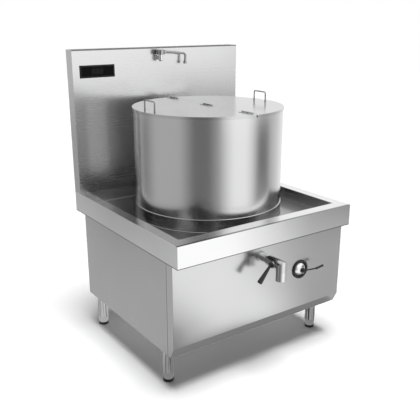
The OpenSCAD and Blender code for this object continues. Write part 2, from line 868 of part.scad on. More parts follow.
// Two seat rings hollowed to the ball
module valve_seats() {
    ring_l = chamber_r - ball_r * 0.62;
    color("white") placed() difference() {
        union() {
            along_y(0, drain_z, chamber_front, chamber_front + ring_l, seat_r);
            along_y(0, drain_z, chamber_back - ring_l, chamber_back, seat_r);
        }
        along_y(0, drain_z, chamber_front - over, chamber_back + over, valve_bore_r);
        translate([0, ball_y, drain_z]) sphere(r = ball_r + seat_gap);
    }
}

// Ball at rest in the closed position, its bore across the pipe
module valve_ball() {
    color("lightgray") placed() on_stem() difference() {
        sphere(r = ball_r);
        rotate([0, 90, 0]) translate([0, 0, -2 * ball_r]) cylinder(r = valve_bore_r, h = 4 * ball_r);
        translate([-ball_r, -ball_r, stem_start]) cube(2 * ball_r);
    }
}

module valve_stem() {
    color("lightgray") placed() on_stem() translate([0, 0, stem_start])
        cylinder(r = stem_r, h = hub_z + hub_t - stem_start);
}

// Lever with its hub and tapered grip, hanging down to the left when shut
module valve_lever() {
    tip = grip_r * 0.3;
    color("black") placed() on_stem() difference() {
        union() {
            translate([0, 0, hub_z]) cylinder(r = lever_hub_r, h = hub_t);
            translate([0, 0, hub_z + hub_t * 0.7]) rotate([0, -lever_flare, 0]) {
                cylinder(r1 = lever_r, r2 = grip_r, h = lever_l - tip);
                translate([0, 0, lever_l - tip]) cylinder(r1 = grip_r, r2 = grip_r - tip, h = tip);
            }
        }
        cylinder(r = stem_r, h = hub_z + hub_t);
    }
}

// Spout tube with a short spigot that enters the elbow
module drain_spout() {
    inner = drain_r - spout_t;
    color("silver") placed() translate([0, spout_y, 0]) difference() {
        union() {
            translate([0, 0, drain_z - spout_drop]) cylinder(r = drain_r, h = spout_drop - drain_r);
            translate([0, 0, elbow_z]) cylinder(r = inner - run_gap, h = spout_t);
        }
        translate([0, 0, drain_z - spout_drop - over]) cylinder(r = inner, h = spout_drop - drain_r);
        translate([0, 0, elbow_z - 2 * over]) cylinder(r = inner - spout_t, h = 3 * over + spout_t);
    }
}

module selector_ring() {
    color([0.08, 0.08, 0.08]) placed() difference() {
        translate([sel_x, ring_y, sel_z]) rotate([90, 0, 0])
            rotate_extrude() translate([ring_mid_r, 0]) circle(ring_tube_r);
        span([sel_x - 2 * ring_r, front_set, sel_z - 2 * ring_r],
             [sel_x + 2 * ring_r, front_set + ring_r, sel_z + 2 * ring_r]);
    }
}

// Domed chrome knob with its hub and the shaft through the panel
module selector_knob() {
    cap_r = (dome_r * dome_r + dome_rise * dome_rise) / (2 * dome_rise);
    color("silver") placed() translate([sel_x, 0, sel_z]) {
        intersection() {
            translate([0, dome_back - over - dome_rise + cap_r, 0]) rotate([90, 0, 0]) sphere(r = cap_r, $fn = round_fn);
            along_y(0, 0, dome_back - over - dome_rise, dome_back - over, dome_r);
        }
        along_y(0, 0, hub_y, dome_back - over, hub_r);
        along_y(0, 0, dome_back - over - seat_gap, front_set + panel_t + switch_d / 2, sel_shaft_r);
    }
}

// Cranked lever: out of the hub's front, then parallel to the panel
module selector_lever() {
    start = [hub_r * 0.3, hub_y - sel_rod_r, sel_rod_r];
    mid = [sel_bend, hub_y - sel_fwd, sel_rod_r * 2];
    end = [sel_reach, hub_y - sel_fwd, sel_rod_r * 2 + sel_rise];
    color("black") placed() translate([sel_x, 0, sel_z]) {
        rod(start, mid, sel_rod_r);
        translate(mid) rotate([0, 0, 90]) sphere(r = sel_grip_r * 1.15);
        rod(mid, end, sel_grip_r);
        translate(end) sphere(r = sel_grip_r * 1.2);
        along_y(0, 0, hub_y - sel_rod_r * 1.5, hub_y, hub_r * 0.8);
    }
}

// Straight rod between two points
module rod(a, b, r) {
    d = b - a;
    l = norm(d);
    translate(a) rotate([0, acos(d[2] / l), atan2(d[1], d[0])]) cylinder(r = r, h = l);
}

module selector_switch() {
    y0 = front_set + panel_t;
    color("ivory") placed() difference() {
        union() {
            span([sel_x - switch_w / 2, y0, sel_z - switch_w / 2],
                 [sel_x + switch_w / 2, y0 + switch_d, sel_z + switch_w / 2]);
            for (x = [-1, 0, 1])
                span([sel_x + x * switch_w * 0.3 - sel_shaft_r / 3, y0 + switch_d, sel_z - sel_shaft_r],
                     [sel_x + x * switch_w * 0.3 + sel_shaft_r / 3, y0 + switch_d + sel_shaft_r * 2,
                      sel_z + sel_shaft_r]);
        }
        along_y(sel_x, sel_z, y0 - over, y0 + switch_d / 2 + seat_gap, sel_shaft_r + run_gap);
    }
}

module insulation_blanket() {
    color("white") placed() translate([0, pot_y, blanket_z]) ring(coil_r, coil_in_r / 2, blanket_t, $fn = round_fn);
}

// Flat litz winding: one disc whose top is grooved between the turns
module induction_winding() {
    groove = coil_t / 3;
    color("chocolate") placed() translate([0, pot_y, coil_z]) rotate_extrude($fn = round_fn) difference() {
        translate([coil_in_r, 0]) square([coil_r - coil_in_r, coil_t]);
        for (i = [1 : coil_turns - 1])
            translate([coil_in_r + i * coil_pitch - groove / 4, coil_t - groove]) square([groove / 2, groove + over]);
    }
}

module winding_tray() {
    color("tan") placed() translate([0, pot_y, tray_z])
        ring(coil_r + tray_t, coil_in_r / 2, tray_t, $fn = round_fn);
}

module ferrite_bars() {
    l = coil_r - coil_in_r;
    color([0.2, 0.2, 0.22]) placed() translate([0, pot_y, ferrite_z])
        for (i = [0 : ferrite_n - 1]) rotate([0, 0, (i + 0.5) * 360 / ferrite_n])
            translate([coil_in_r, -ferrite_t * 1.2, 0]) cube([l, ferrite_t * 2.4, ferrite_t]);
}

// Spring probe that stands on the support and touches the base disc
module temperature_probe() {
    bore = coil_in_r / 5;
    color("goldenrod") placed() translate([0, pot_y, 0]) {
        translate([0, 0, beam_z + rail_w]) cylinder(r = bore, h = ferrite_t + tray_t + coil_t);
        translate([0, 0, beam_z + rail_w + ferrite_t + tray_t + coil_t])
            cylinder(r = bore * 0.6, h = blanket_t);
    }
}

// Two beams on four uprights with a cross bar under the probe
module winding_support() {
    base = floor_top + rail_w;
    w = rail_w / 2;
    color("gray") placed() {
        for (sx = [-1, 1]) {
            span([sx * beam_x - w, leg_ys[0] - w, beam_z], [sx * beam_x + w, leg_ys[1] + w, beam_z + rail_w]);
            for (y = leg_ys)
                span([sx * beam_x - w, y - w, base], [sx * beam_x + w, y + w, beam_z]);
        }
        span([-beam_x, pot_y - w, beam_z], [beam_x, pot_y + w, beam_z + rail_w]);
    }
}

// Open-ended sheet case on two runners, so air can pass through it
module inverter_case() {
    wall = case_wall;
    runner_y = [case_y, case_y + case_d - rail_w];
    color("lightsteelblue") placed() {
        difference() {
            span([case_x, case_y, case_z], [case_x + case_w, case_y + case_d, case_z + case_h]);
            span([case_x + wall, case_y - over, case_z + wall],
                 [case_x + case_w - wall, case_y + case_d + over, case_z + case_h - wall]);
        }
        for (y = runner_y)
            span([case_x, y, floor_top], [case_x + case_w, y + rail_w / 2, case_z]);
    }
}

module heat_sink() {
    wall = case_wall;
    fins = 9;
    w = case_w * 0.5;
    pitch = w / fins;
    x0 = case_x + wall;
    z0 = case_z + wall;
    color("lightgray") placed() {
        span([x0, case_y + rail_w, z0], [x0 + w, case_y + case_d - rail_w * 2, z0 + wall * 4]);
        for (i = [0 : fins - 1])
            span([x0 + i * pitch, case_y + rail_w, z0 + wall * 4],
                 [x0 + i * pitch + wall, case_y + case_d - rail_w * 2, z0 + case_h * 0.5]);
    }
}

// Power board carried on the heat sink's fins, with capacitors and a choke
module power_board() {
    wall = case_wall;
    z0 = case_z + wall + case_h * 0.5;
    x0 = case_x + wall;
    cap_r = case_h * 0.1;
    color("seagreen") placed() {
        span([x0, case_y + rail_w, z0], [x0 + case_w * 0.55, case_y + case_d - rail_w * 2, z0 + wall]);
        for (i = [0 : 2])
            translate([x0 + case_w * 0.15, case_y + rail_w * 2.5 + i * cap_r * 3, z0 + wall])
                cylinder(r = cap_r, h = case_h * 0.3);
        translate([x0 + case_w * 0.38, case_y + case_d * 0.4, z0 + wall])
            ring(cap_r * 1.6, cap_r * 0.8, case_h * 0.15);
    }
}

// Square fan frame with the motor mount and three struts at its back
module fan_housing() {
    y1 = back_y - panel_t;
    strut = fan_w * 0.05;
    color("black") placed() {
        difference() {
            span([fan_x - fan_w / 2, fan_y, fan_z - fan_w / 2], [fan_x + fan_w / 2, y1, fan_z + fan_w / 2]);
            along_y(fan_x, fan_z, fan_y - over, y1 + over, fan_hole_r);
        }
        difference() {
            along_y(fan_x, fan_z, y1 - motor_t, y1, fan_hub_r);
            along_y(fan_x, fan_z, y1 - motor_t - over, y1 - motor_t * 0.3, axle_r + run_gap);
        }
        for (a = [90, 210, 330]) translate([fan_x, y1 - strut, fan_z]) rotate([0, a, 0])
            translate([fan_hub_r - over, 0, -strut / 2]) cube([fan_hole_r - fan_hub_r + 2 * over, strut, strut]);
    }
}

// Hub, axle and pitched blades
module fan_rotor() {
    y1 = back_y - panel_t - motor_t - seat_gap;
    hub_l = fan_t * 0.5;
    blade_w = fan_t * 0.42;
    color([0.12, 0.12, 0.12]) placed() {
        along_y(fan_x, fan_z, y1 - hub_l, y1, fan_hub_r);
        along_y(fan_x, fan_z, y1, y1 + motor_t * 0.6, axle_r);
        intersection() {
            for (i = [0 : fan_blades - 1])
                translate([fan_x, y1 - hub_l / 2, fan_z]) rotate([0, i * 360 / fan_blades, 0])
                    rotate([35, 0, 0]) translate([fan_hub_r * 0.7, -case_wall / 2, -blade_w])
                        cube([rotor_r, case_wall, 2 * blade_w]);
            along_y(fan_x, fan_z, y1 - hub_l, y1, rotor_r);
        }
    }
}

module cable_gland() {
    y0 = back_y - panel_t;
    color([0.15, 0.15, 0.15]) placed() difference() {
        union() {
            along_y(gland_x, gland_z, y0 - gland_in, back_y + gland_out, gland_r);
            along_y(gland_x, gland_z, back_y, back_y + gland_out * 0.3, gland_nut_r, $fn = 6);
            along_y(gland_x, gland_z, back_y + gland_out * 0.35, back_y + gland_out, gland_nut_r * 0.95);
            along_y(gland_x, gland_z, y0 - gland_in * 0.4, y0, gland_nut_r);
        }
        along_y(gland_x, gland_z, y0 - gland_in - over, back_y + gland_out + over, gland_bore_r);
    }
}

// Pan-head screws round the cabinet's back panel and the backsplash cover
module panel_screws() {
    cover_edge = bs_flange / 2;
    panel_edge = panel_flange / 2;
    color("silver") placed() {
        for (sx = [-1, 1], i = [0 : 3])
            translate([sx * (half_w - cover_edge), top_d, rim_z + bs_h * (0.1 + i * 0.266)]) screw_head();
        for (i = [-1, 0, 1])
            translate([i * top_w * 0.3, top_d, bs_z - cover_edge]) screw_head();
        for (sx = [-1, 1], i = [0 : 2])
            translate([sx * (side_x - panel_edge), back_y, panel_z + apron_h * (0.25 + i * 1.6)]) screw_head();
    }
}

module screw_head() {
    rotate([90, 0, 0]) translate([0, 0, -screw_h]) difference() {
        cylinder(r = screw_r, h = screw_h);
        for (a = [0, 90]) rotate([0, 0, a])
            translate([-screw_r / 2, -screw_r / 8, -over]) cube([screw_r, screw_r / 4, over + screw_h / 2]);
    }
}

// Half of the lid: plate and turned-down lip, on the side given by sx
module lid_half(sx) {
    far = 2 * lid_r;
    gap = lid_split / 2;
    intersection() {
        union() {
            translate([0, pot_y, lid_under]) cylinder(r = lid_r, h = lid_t, $fn = round_fn);
            difference() {
                translate([0, pot_y, lid_z - lid_lip]) ring(lid_r, lip_in, lid_lip, $fn = round_fn);
                span([split_x - corner_gap, pot_y - far, lid_z - lid_lip - over],
                     [split_x + corner_gap, pot_y + far, lid_under]);
            }
        }
        span([sx > 0 ? split_x + gap : -far, pot_y - far, lid_z - far],
             [sx > 0 ? far : split_x - gap, pot_y + far, lid_z + far]);
    }
}

// Hinge leaf on one side with its share of the knuckles
module hinge_leaf(sx, ks) {
    gap = lid_split / 2;
    for (i = [-1, 0, 1]) translate([split_x, hinge_mid_y + i * hinge_pitch - hinge_l / 2, 0]) {
        difference() {
            union() {
                x0 = sx > 0 ? hinge_r + gap : -hinge_leaf_w;
                span([x0, 0, lid_z], [x0 + hinge_leaf_w - hinge_r - gap, hinge_l, lid_z + leaf_t]);
                for (k = ks) {
                    along_y(0, hinge_z, k * knuckle + seat_gap / 2, (k + 1) * knuckle - seat_gap / 2, hinge_r);
                    span([sx > 0 ? gap : -hinge_r - gap * 2, k * knuckle + seat_gap / 2, lid_z],
                         [sx > 0 ? hinge_r + gap * 2 : -gap, (k + 1) * knuckle - seat_gap / 2, lid_z + leaf_t]);
                }
            }
            along_y(0, hinge_z, -over, hinge_l + over, hinge_pin_r + run_gap);
        }
    }
}

module lid_right() {
    color("whitesmoke") placed() {
        lid_half(1);
        hinge_leaf(1, [0, 2, 4]);
    }
}

module lid_left() {
    color("gainsboro") placed() {
        lid_half(-1);
        hinge_leaf(-1, [1, 3]);
    }
}

module lid_hinge_pins() {
    color("silver") placed() for (i = [-1, 0, 1])
        along_y(split_x, hinge_z, hinge_mid_y + i * hinge_pitch - hinge_l / 2,
                hinge_mid_y + i * hinge_pitch + hinge_l / 2, hinge_pin_r);
}

// Bent rod handle standing on the lid, its bar along Y
module lid_handle(x) {
    half = handle_l / 2;
    bend = handle_r * 2.4;
    color("silver") placed() translate([x, pot_y, lid_z]) {
        for (sy = [-1, 1]) {
            translate([0, sy * half, 0]) cylinder(r = handle_r, h = handle_h - bend);
            translate([0, sy * half, 0]) cylinder(r = handle_r * 1.7, h = handle_r / 2);
            translate([0, sy * (half - bend), handle_h - bend]) rotate([90, 0, 90])
                rotate([0, 0, sy > 0 ? 0 : 90]) rotate_extrude(angle = 90) translate([bend, 0]) circle(handle_r);
        }
        along_y(0, handle_h, -half + bend, half - bend, handle_r);
    }
}

module lid_handle_right() { lid_handle(handle_x); }
module lid_handle_left() { lid_handle(-handle_x); }

worktop();
pot_collar();
pot();
pot_base_disc();
front_panel();
left_panel();
right_panel();
back_panel();
floor_panel();
frame_rails();
frame_posts();
legs();
backsplash_front();
backsplash_cover();
display_frame();
display_window();
display_board();
tap_body();
water_pipe();
drain_pipe();
drain_lock_ring();
valve_body();
valve_seats();
drain_spout();
selector_ring();
selector_switch();
winding_tray();
induction_winding();
ferrite_bars();
insulation_blanket();
temperature_probe();
winding_support();
inverter_case();
heat_sink();
power_board();
fan_housing();
cable_gland();
panel_screws();
foot_front_left();
foot_front_right();
foot_back_left();
foot_back_right();
sole_front_left();
sole_front_right();
sole_back_left();
sole_back_right();
tap_head();
tap_spout();
aerator();
lid_right();
lid_left();
lid_handle_right();
lid_handle_left();
lid_hinge_pins();
valve_ball();
valve_stem();
valve_lever();
selector_knob();
selector_lever();
fan_rotor();
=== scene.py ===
import json
import math
import bmesh
import bpy
from mathutils import Matrix, Vector

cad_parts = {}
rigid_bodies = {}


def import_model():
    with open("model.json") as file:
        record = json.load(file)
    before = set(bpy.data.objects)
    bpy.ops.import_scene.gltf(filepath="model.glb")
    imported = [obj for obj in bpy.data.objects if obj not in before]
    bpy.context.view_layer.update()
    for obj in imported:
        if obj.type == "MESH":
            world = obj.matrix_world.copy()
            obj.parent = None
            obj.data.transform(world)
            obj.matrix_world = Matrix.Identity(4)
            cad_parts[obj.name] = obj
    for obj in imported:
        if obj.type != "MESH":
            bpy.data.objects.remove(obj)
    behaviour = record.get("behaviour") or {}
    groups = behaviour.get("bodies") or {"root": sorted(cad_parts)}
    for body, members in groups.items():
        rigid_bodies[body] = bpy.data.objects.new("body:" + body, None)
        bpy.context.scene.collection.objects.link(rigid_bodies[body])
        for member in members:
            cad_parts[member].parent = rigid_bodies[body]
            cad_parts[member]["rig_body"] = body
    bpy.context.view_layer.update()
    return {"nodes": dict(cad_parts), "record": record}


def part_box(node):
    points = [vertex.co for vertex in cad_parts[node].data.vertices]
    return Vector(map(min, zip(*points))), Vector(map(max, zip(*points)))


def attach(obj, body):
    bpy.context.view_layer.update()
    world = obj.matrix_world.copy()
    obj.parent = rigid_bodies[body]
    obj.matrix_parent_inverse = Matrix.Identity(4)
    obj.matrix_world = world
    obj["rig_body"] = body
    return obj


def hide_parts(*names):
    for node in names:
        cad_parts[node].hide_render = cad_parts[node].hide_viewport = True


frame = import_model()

scene = bpy.context.scene
cadNodes = frame["nodes"]
nodeSlots = {row["node"]: row["material_slot"] for row in frame["record"]["subparts"]}
print("frame loaded:", len(cadNodes), "nodes")


# camera, at the photo's place: metres and degrees, lens in mm
cameraView = {"place": (-1.7111, -2.3790, 1.6018), "yaw": 35.42, "pitch": 17.948, "roll": 0.103,
              "lens": 52.457, "shift": (-0.0001, 0.0068)}


def addCamera(view):
    data = bpy.data.cameras.new("photoCamera")
    data.sensor_width = 36.0
    data.lens = view["lens"]
    data.shift_x, data.shift_y = view["shift"]
    data.clip_end = 60.0
    camera = bpy.data.objects.new("photoCamera", data)
    scene.collection.objects.link(camera)
    turn = (Matrix.Rotation(math.radians(-view["yaw"]), 4, "Z")
            @ Matrix.Rotation(math.radians(90 - view["pitch"]), 4, "X")
            @ Matrix.Rotation(math.radians(view["roll"]), 4, "Z"))
    camera.matrix_world = Matrix.Translation(view["place"]) @ turn
    scene.camera = camera


addCamera(cameraView)
print("camera set")


# node helpers for the materials
def blankMaterial(name, values):
    material = bpy.data.materials.new(name)
    material.use_nodes = True
    tree = material.node_tree
    shader = tree.nodes["Principled BSDF"]
    for socket, value in values.items():
        shader.inputs[socket].default_value = value
    return material, tree, shader


def objectPattern(tree, scale, centre=(0, 0, 0)):
    coords = tree.nodes.new("ShaderNodeTexCoord")
    mapping = tree.nodes.new("ShaderNodeMapping")
    mapping.inputs["Scale"].default_value = scale
    mapping.inputs["Location"].default_value = [-c * s for c, s in zip(centre, scale)]
    tree.links.new(coords.outputs["Object"], mapping.inputs["Vector"])
    return mapping.outputs["Vector"]


def noiseOn(tree, vector, scale=1.0, detail=3.0, roughness=0.55, distortion=0.0):
    noise = tree.nodes.new("ShaderNodeTexNoise")
    noise.inputs["Scale"].default_value = scale
    noise.inputs["Detail"].default_value = detail
    noise.inputs["Roughness"].default_value = roughness
    noise.inputs["Distortion"].default_value = distortion
    tree.links.new(vector, noise.inputs["Vector"])
    return noise.outputs["Fac"]


def rampOn(tree, value, stops):
    ramp = tree.nodes.new("ShaderNodeValToRGB")
    marks = ramp.color_ramp.elements
    while len(marks) < len(stops):
        marks.new(0.5)
    for mark, (place, colour) in zip(marks, stops):
        mark.position = place
        mark.color = (*colour, 1.0) if len(colour) == 3 else (colour[0],) * 3 + (1.0,)
    tree.links.new(value, ramp.inputs["Fac"])
    return ramp.outputs["Color"]


def spreadOn(tree, value, low, high, fromLow=0.3, fromHigh=0.7):
    spread = tree.nodes.new("ShaderNodeMapRange")
    spread.inputs["From Min"].default_value = fromLow
    spread.inputs["From Max"].default_value = fromHigh
    spread.inputs["To Min"].default_value = low
    spread.inputs["To Max"].default_value = high
    tree.links.new(value, spread.inputs["Value"])
    return spread.outputs["Result"]


def mathOn(tree, kind, first, second):
    node = tree.nodes.new("ShaderNodeMath")
    node.operation = kind
    for socket, value in zip(node.inputs, (first, second)):
        if isinstance(value, (int, float)):
            socket.default_value = value
        else:
            tree.links.new(value, socket)
    return node.outputs["Value"]


def bumpOn(tree, height, strength, distance, below=None):
    bump = tree.nodes.new("ShaderNodeBump")
    bump.inputs["Strength"].default_value = strength
    bump.inputs["Distance"].default_value = distance
    tree.links.new(height, bump.inputs["Height"])
    if below is not None:
        tree.links.new(below, bump.inputs["Normal"])
    return bump.outputs["Normal"]


def grey(level):
    return (level, level, level * 1.004)


maskEdge = {"step": 0.0004, "core": 0.6}  # metres at a mask's end, a line's full part


def creaseOn(tree, crease):  # a narrow dark line along a fold or joint, as (axis, middle, half) sides; along a fold it is a painted dark reflection on the bend, along a joint the dark seam
    split = tree.nodes.new("ShaderNodeSeparateXYZ")
    tree.links.new(objectPattern(tree, (1, 1, 1)), split.inputs["Vector"])
    outside = None
    for axis, middle, half in crease["sides"]:
        away = mathOn(tree, "ABSOLUTE", mathOn(tree, "SUBTRACT", split.outputs[axis], middle), 0.0)
        away = mathOn(tree, "SUBTRACT", away, half)
        outside = away if outside is None else mathOn(tree, "MAXIMUM", outside, away)
    width = crease["width"]
    mask = spreadOn(tree, mathOn(tree, "ABSOLUTE", outside, 0.0), crease["depth"], 0.0,
                    width * maskEdge["core"], width)
    axis, low, high = crease["only"]
    mask = mathOn(tree, "MULTIPLY", mask, spreadOn(tree, split.outputs[axis], 0.0, 1.0, low,
                                                   low + maskEdge["step"]))
    return mathOn(tree, "MULTIPLY", mask, spreadOn(tree, split.outputs[axis], 1.0, 0.0, high,
                                                   high + maskEdge["step"]))


def zoneOn(tree, zone):  # a painted tone patch inside a box with soft borders, as (axis, low, high, soft) bounds: a painted reflection, darker or lighter than the steel
    split = tree.nodes.new("ShaderNodeSeparateXYZ")
    tree.links.new(objectPattern(tree, (1, 1, 1)), split.inputs["Vector"])
    mask = zone["depth"]
    for axis, low, high, soft in zone["bounds"]:
        mask = mathOn(tree, "MULTIPLY", spreadOn(tree, split.outputs[axis], 0.0, 1.0, low, low + soft),
                      mask)
        mask = mathOn(tree, "MULTIPLY", spreadOn(tree, split.outputs[axis], 1.0, 0.0, high, high + soft),
                      mask)
    return mask


darkTone = 0.02  # what a painted dark line, a seam line or a painted reflection zone turns the steel towards


# steel: fine grain along one way, soft wipe marks, a little waviness of thin sheet, dark seam lines and
# painted reflection lines, patches and streaks
def steel(name, spec):
    material, tree, shader = blankMaterial(name, {"Metallic": 1.0})
    grain = noiseOn(tree, objectPattern(tree, spec["grain"]), 1.0, 4.0, 0.6)
    wipes = noiseOn(tree, objectPattern(tree, spec.get("wipes", (5, 5, 5))), 1.0, 3.0, 0.5, 0.4)
    tone = spec["tone"]
    colour = rampOn(tree, mathOn(tree, "ADD", mathOn(tree, "MULTIPLY", grain, 0.4),
                                 mathOn(tree, "MULTIPLY", wipes, 0.6)),
                    [(0.3, grey(tone * 0.975)), (0.7, grey(tone * 1.025))])
    if "streak" in spec:  # painted reflection: bright and dark streaks along the tube that stand for a polished tube's streaky reflections
        dark, light = spec["streak"]
        colour = rampOn(tree, grain, [(0.40, grey(dark)), (0.47, grey(light)), (0.53, grey(light)),
                                      (0.60, grey(dark))])
    # painted dark reflection lines along folds, and the dark seam line of a joint
    masks = [(creaseOn(tree, crease), darkTone) for crease in spec.get("creases", ())]
    # painted reflection patches, darker or lighter than the steel
    masks += [(zoneOn(tree, zone), zone.get("tone", darkTone)) for zone in spec.get("zones", ())]
    for mask, level in masks:
        darker = tree.nodes.new("ShaderNodeMix")
        darker.data_type = "RGBA"
        tree.links.new(mask, darker.inputs["Factor"])
        tree.links.new(colour, darker.inputs[6])
        darker.inputs[7].default_value = (level, level, level, 1.0)
        colour = darker.outputs[2]
    tree.links.new(colour, shader.inputs["Base Color"])
    low, high = spec["rough"]
    rough = mathOn(tree, "ADD", spreadOn(tree, grain, low, high),
                   spreadOn(tree, wipes, -spec["wiped"], spec["wiped"]))
    tree.links.new(rough, shader.inputs["Roughness"])
    wave = noiseOn(tree, objectPattern(tree, spec.get("waves", (3.0, 3.0, 3.0))), 1.0, 1.0, 0.4)
    normal = bumpOn(tree, wave, 1.0, spec["wavy"])
    normal = bumpOn(tree, grain, spec["bite"], 0.0004, normal)
    tree.links.new(normal, shader.inputs["Normal"])
    return material


# moulded, painted and other plain finishes: fine skin, mottled tone, rubbed patches
def skin(name, spec):
    material, tree, shader = blankMaterial(name, {"Metallic": spec.get("metal", 0.0),
                                                  "Specular IOR Level": spec.get("gloss", 0.5)})
    fine = noiseOn(tree, objectPattern(tree, spec["skin"]), 1.0, 3.0, 0.6)
    broad = noiseOn(tree, objectPattern(tree, spec.get("broad", (12, 12, 12))), 1.0, 2.0, 0.5)
    tree.links.new(rampOn(tree, broad, [(0.3, spec["dark"]), (0.72, spec["light"])]),
                   shader.inputs["Base Color"])
    low, high = spec["rough"]
    tree.links.new(spreadOn(tree, fine, low, high), shader.inputs["Roughness"])
    tree.links.new(bumpOn(tree, fine, spec["bite"], spec.get("depth", 0.0003)), shader.inputs["Normal"])
    return material


alongX, alongY, allWays = (1.6, 420, 420), (420, 1.6, 420), (260, 260, 260)
topLow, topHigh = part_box("worktop")
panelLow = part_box("left_panel")[0]
splashLow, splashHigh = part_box("backsplash_front")
rimFlat = {"halfX": 0.447, "front": 0.070}  # where the flat rim ends and the spill pan begins
# painted dark reflection line along the fold where the flat rim meets the spill pan
rimFoldPaintedLine = {"sides": (("X", 0.0, rimFlat["halfX"]),
                     ("Y", (topLow.y + rimFlat["front"] + splashLow.y) / 2,
                      (splashLow.y - topLow.y - rimFlat["front"]) / 2)),
           "width": 0.006, "depth": 0.35, "only": ("Z", topHigh.z - 0.0015, topHigh.z + 0.01)}
# painted dark reflection line along the apron's bottom edge
apronFoldPaintedLine = {"sides": (("Z", topLow.z, 0.0),), "width": 0.0052, "depth": 0.8,
             "only": ("Z", topLow.z - 0.01, topLow.z + 0.01)}
# painted dark reflection band along the worktop's front edge, on the rim top
frontEdgePaintedLine = {"sides": (("Y", topLow.y, 0.0),), "width": 0.015, "depth": 0.72,
             "only": ("Z", topHigh.z - 0.0012, topHigh.z + 0.01)}
# painted dark reflection line along the backsplash's top front edge
splashFoldPaintedLine = {"sides": (("Z", splashHigh.z, 0.0),), "width": 0.0065, "depth": 0.8,
              "only": ("Y", splashLow.y - 0.01, splashLow.y + 0.0012)}
panelJoint = {"sides": (("Y", panelLow.y, 0.0),), "width": 0.0035, "depth": 0.6, "only": ("Z", 0.0, 1.0)}
# painted reflection zones: tone patches painted onto the steel that stand for what the surroundings reflect
# in it and the cards don't
# painted dark reflection over the spill pan
panPaintedReflection = {"bounds": (("X", 0.0005 - rimFlat["halfX"], rimFlat["halfX"] - 0.0005, 0.001),
                       ("Y", topLow.y + rimFlat["front"] + 0.0005, splashLow.y - 0.004, 0.001),
                       ("Z", topHigh.z - 0.08, topHigh.z - 0.004, 0.002)),
           "depth": 0.58}
# painted dark reflection on the front rim near the left corner
rimPaintedReflection = {"bounds": (("X", -0.47, -0.27, 0.05), ("Y", topLow.y + 0.012, topLow.y + 0.16, 0.03),
                       ("Z", topHigh.z - 0.08, topHigh.z - 0.001, 0.001)), "depth": 0.5}
# painted light reflection: a lighter band on the backsplash's left part
splashPaintedReflection = {"bounds": (("X", -0.455, -0.345, 0.03), ("Z", 0.78, 1.15, 0.05),
                         ("Y", splashLow.y - 0.01, splashLow.y + 0.002, 0.001)), "depth": 0.55,
              "tone": 0.95}
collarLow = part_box("pot_collar")[0]
# painted shade: a dark line round the collar's foot, where it meets the worktop
collarFootPaintedShade = {"sides": (("Z", collarLow.z, 0.0),), "width": 0.006, "depth": 0.30, "only": ("Z", 0.0, 1.0)}
# painted dark reflection over the collar's foot, up to just above the worktop
collarPaintedReflection = {"bounds": (("Z", collarLow.z - 0.01, topHigh.z + 0.006, 0.003),), "depth": 0.38}
steelFinishes = {
    "worktopSteel": {"tone": 0.82, "grain": alongX, "rough": (0.19, 0.23), "wiped": 0.02, "wavy": 0.0004,
                     "bite": 0.015,
                     "creases": (rimFoldPaintedLine, apronFoldPaintedLine, frontEdgePaintedLine), "zones": (panPaintedReflection, rimPaintedReflection)},
    "splashSteel": {"tone": 0.62, "grain": alongX, "rough": (0.24, 0.28), "wiped": 0.02, "wavy": 0.0003,
                    "bite": 0.008, "creases": (splashFoldPaintedLine,), "zones": (splashPaintedReflection,)},
    "frontSteel": {"tone": 0.62, "grain": alongX, "rough": (0.20, 0.24), "wiped": 0.02, "wavy": 0.0005,
                   "bite": 0.015},
    "sideSteel": {"tone": 0.60, "grain": alongY, "rough": (0.22, 0.27), "wiped": 0.02, "wavy": 0.0005,
                  "bite": 0.015, "creases": (panelJoint,)},
    "lidSteel": {"tone": 0.57, "grain": alongY, "rough": (0.17, 0.21), "wiped": 0.02, "wavy": 0.0006,
                 "bite": 0.015},
    "potSteel": {"tone": 0.64, "grain": (4, 4, 520), "rough": (0.19, 0.23), "wiped": 0.015, "wavy": 0.0002,
                 "bite": 0.01, "wipes": (5, 5, 2), "waves": (2, 2, 1)},
    "polishedSteel": {"tone": 0.72, "grain": allWays, "rough": (0.05, 0.10), "wiped": 0.02, "wavy": 0.0,
                      "bite": 0.02},
    "collarSteel": {"tone": 0.62, "grain": (4, 4, 520), "rough": (0.19, 0.23), "wiped": 0.015, "wavy": 0.0,
                    "bite": 0.01, "creases": (collarFootPaintedShade,), "zones": (collarPaintedReflection,)},
    "rodSteel": {"tone": 0.36, "grain": allWays, "rough": (0.08, 0.14), "wiped": 0.02, "wavy": 0.0,
                 "bite": 0.02},
    "castSteel": {"tone": 0.66, "grain": allWays, "rough": (0.18, 0.26), "wiped": 0.02, "wavy": 0.0,
                  "bite": 0.04},
    "legSteel": {"tone": 0.60, "grain": (120, 120, 1.0), "rough": (0.06, 0.12), "wiped": 0.02, "wavy": 0.0,
                 "bite": 0.02, "streak": (0.10, 0.95)},
    "zincSheet": {"tone": 0.50, "grain": allWays, "rough": (0.35, 0.50), "wiped": 0.06, "wavy": 0.0,
                  "bite": 0.10},
    "sinkAluminium": {"tone": 0.60, "grain": alongY, "rough": (0.30, 0.42), "wiped": 0.04, "wavy": 0.0,
                      "bite": 0.08},
}
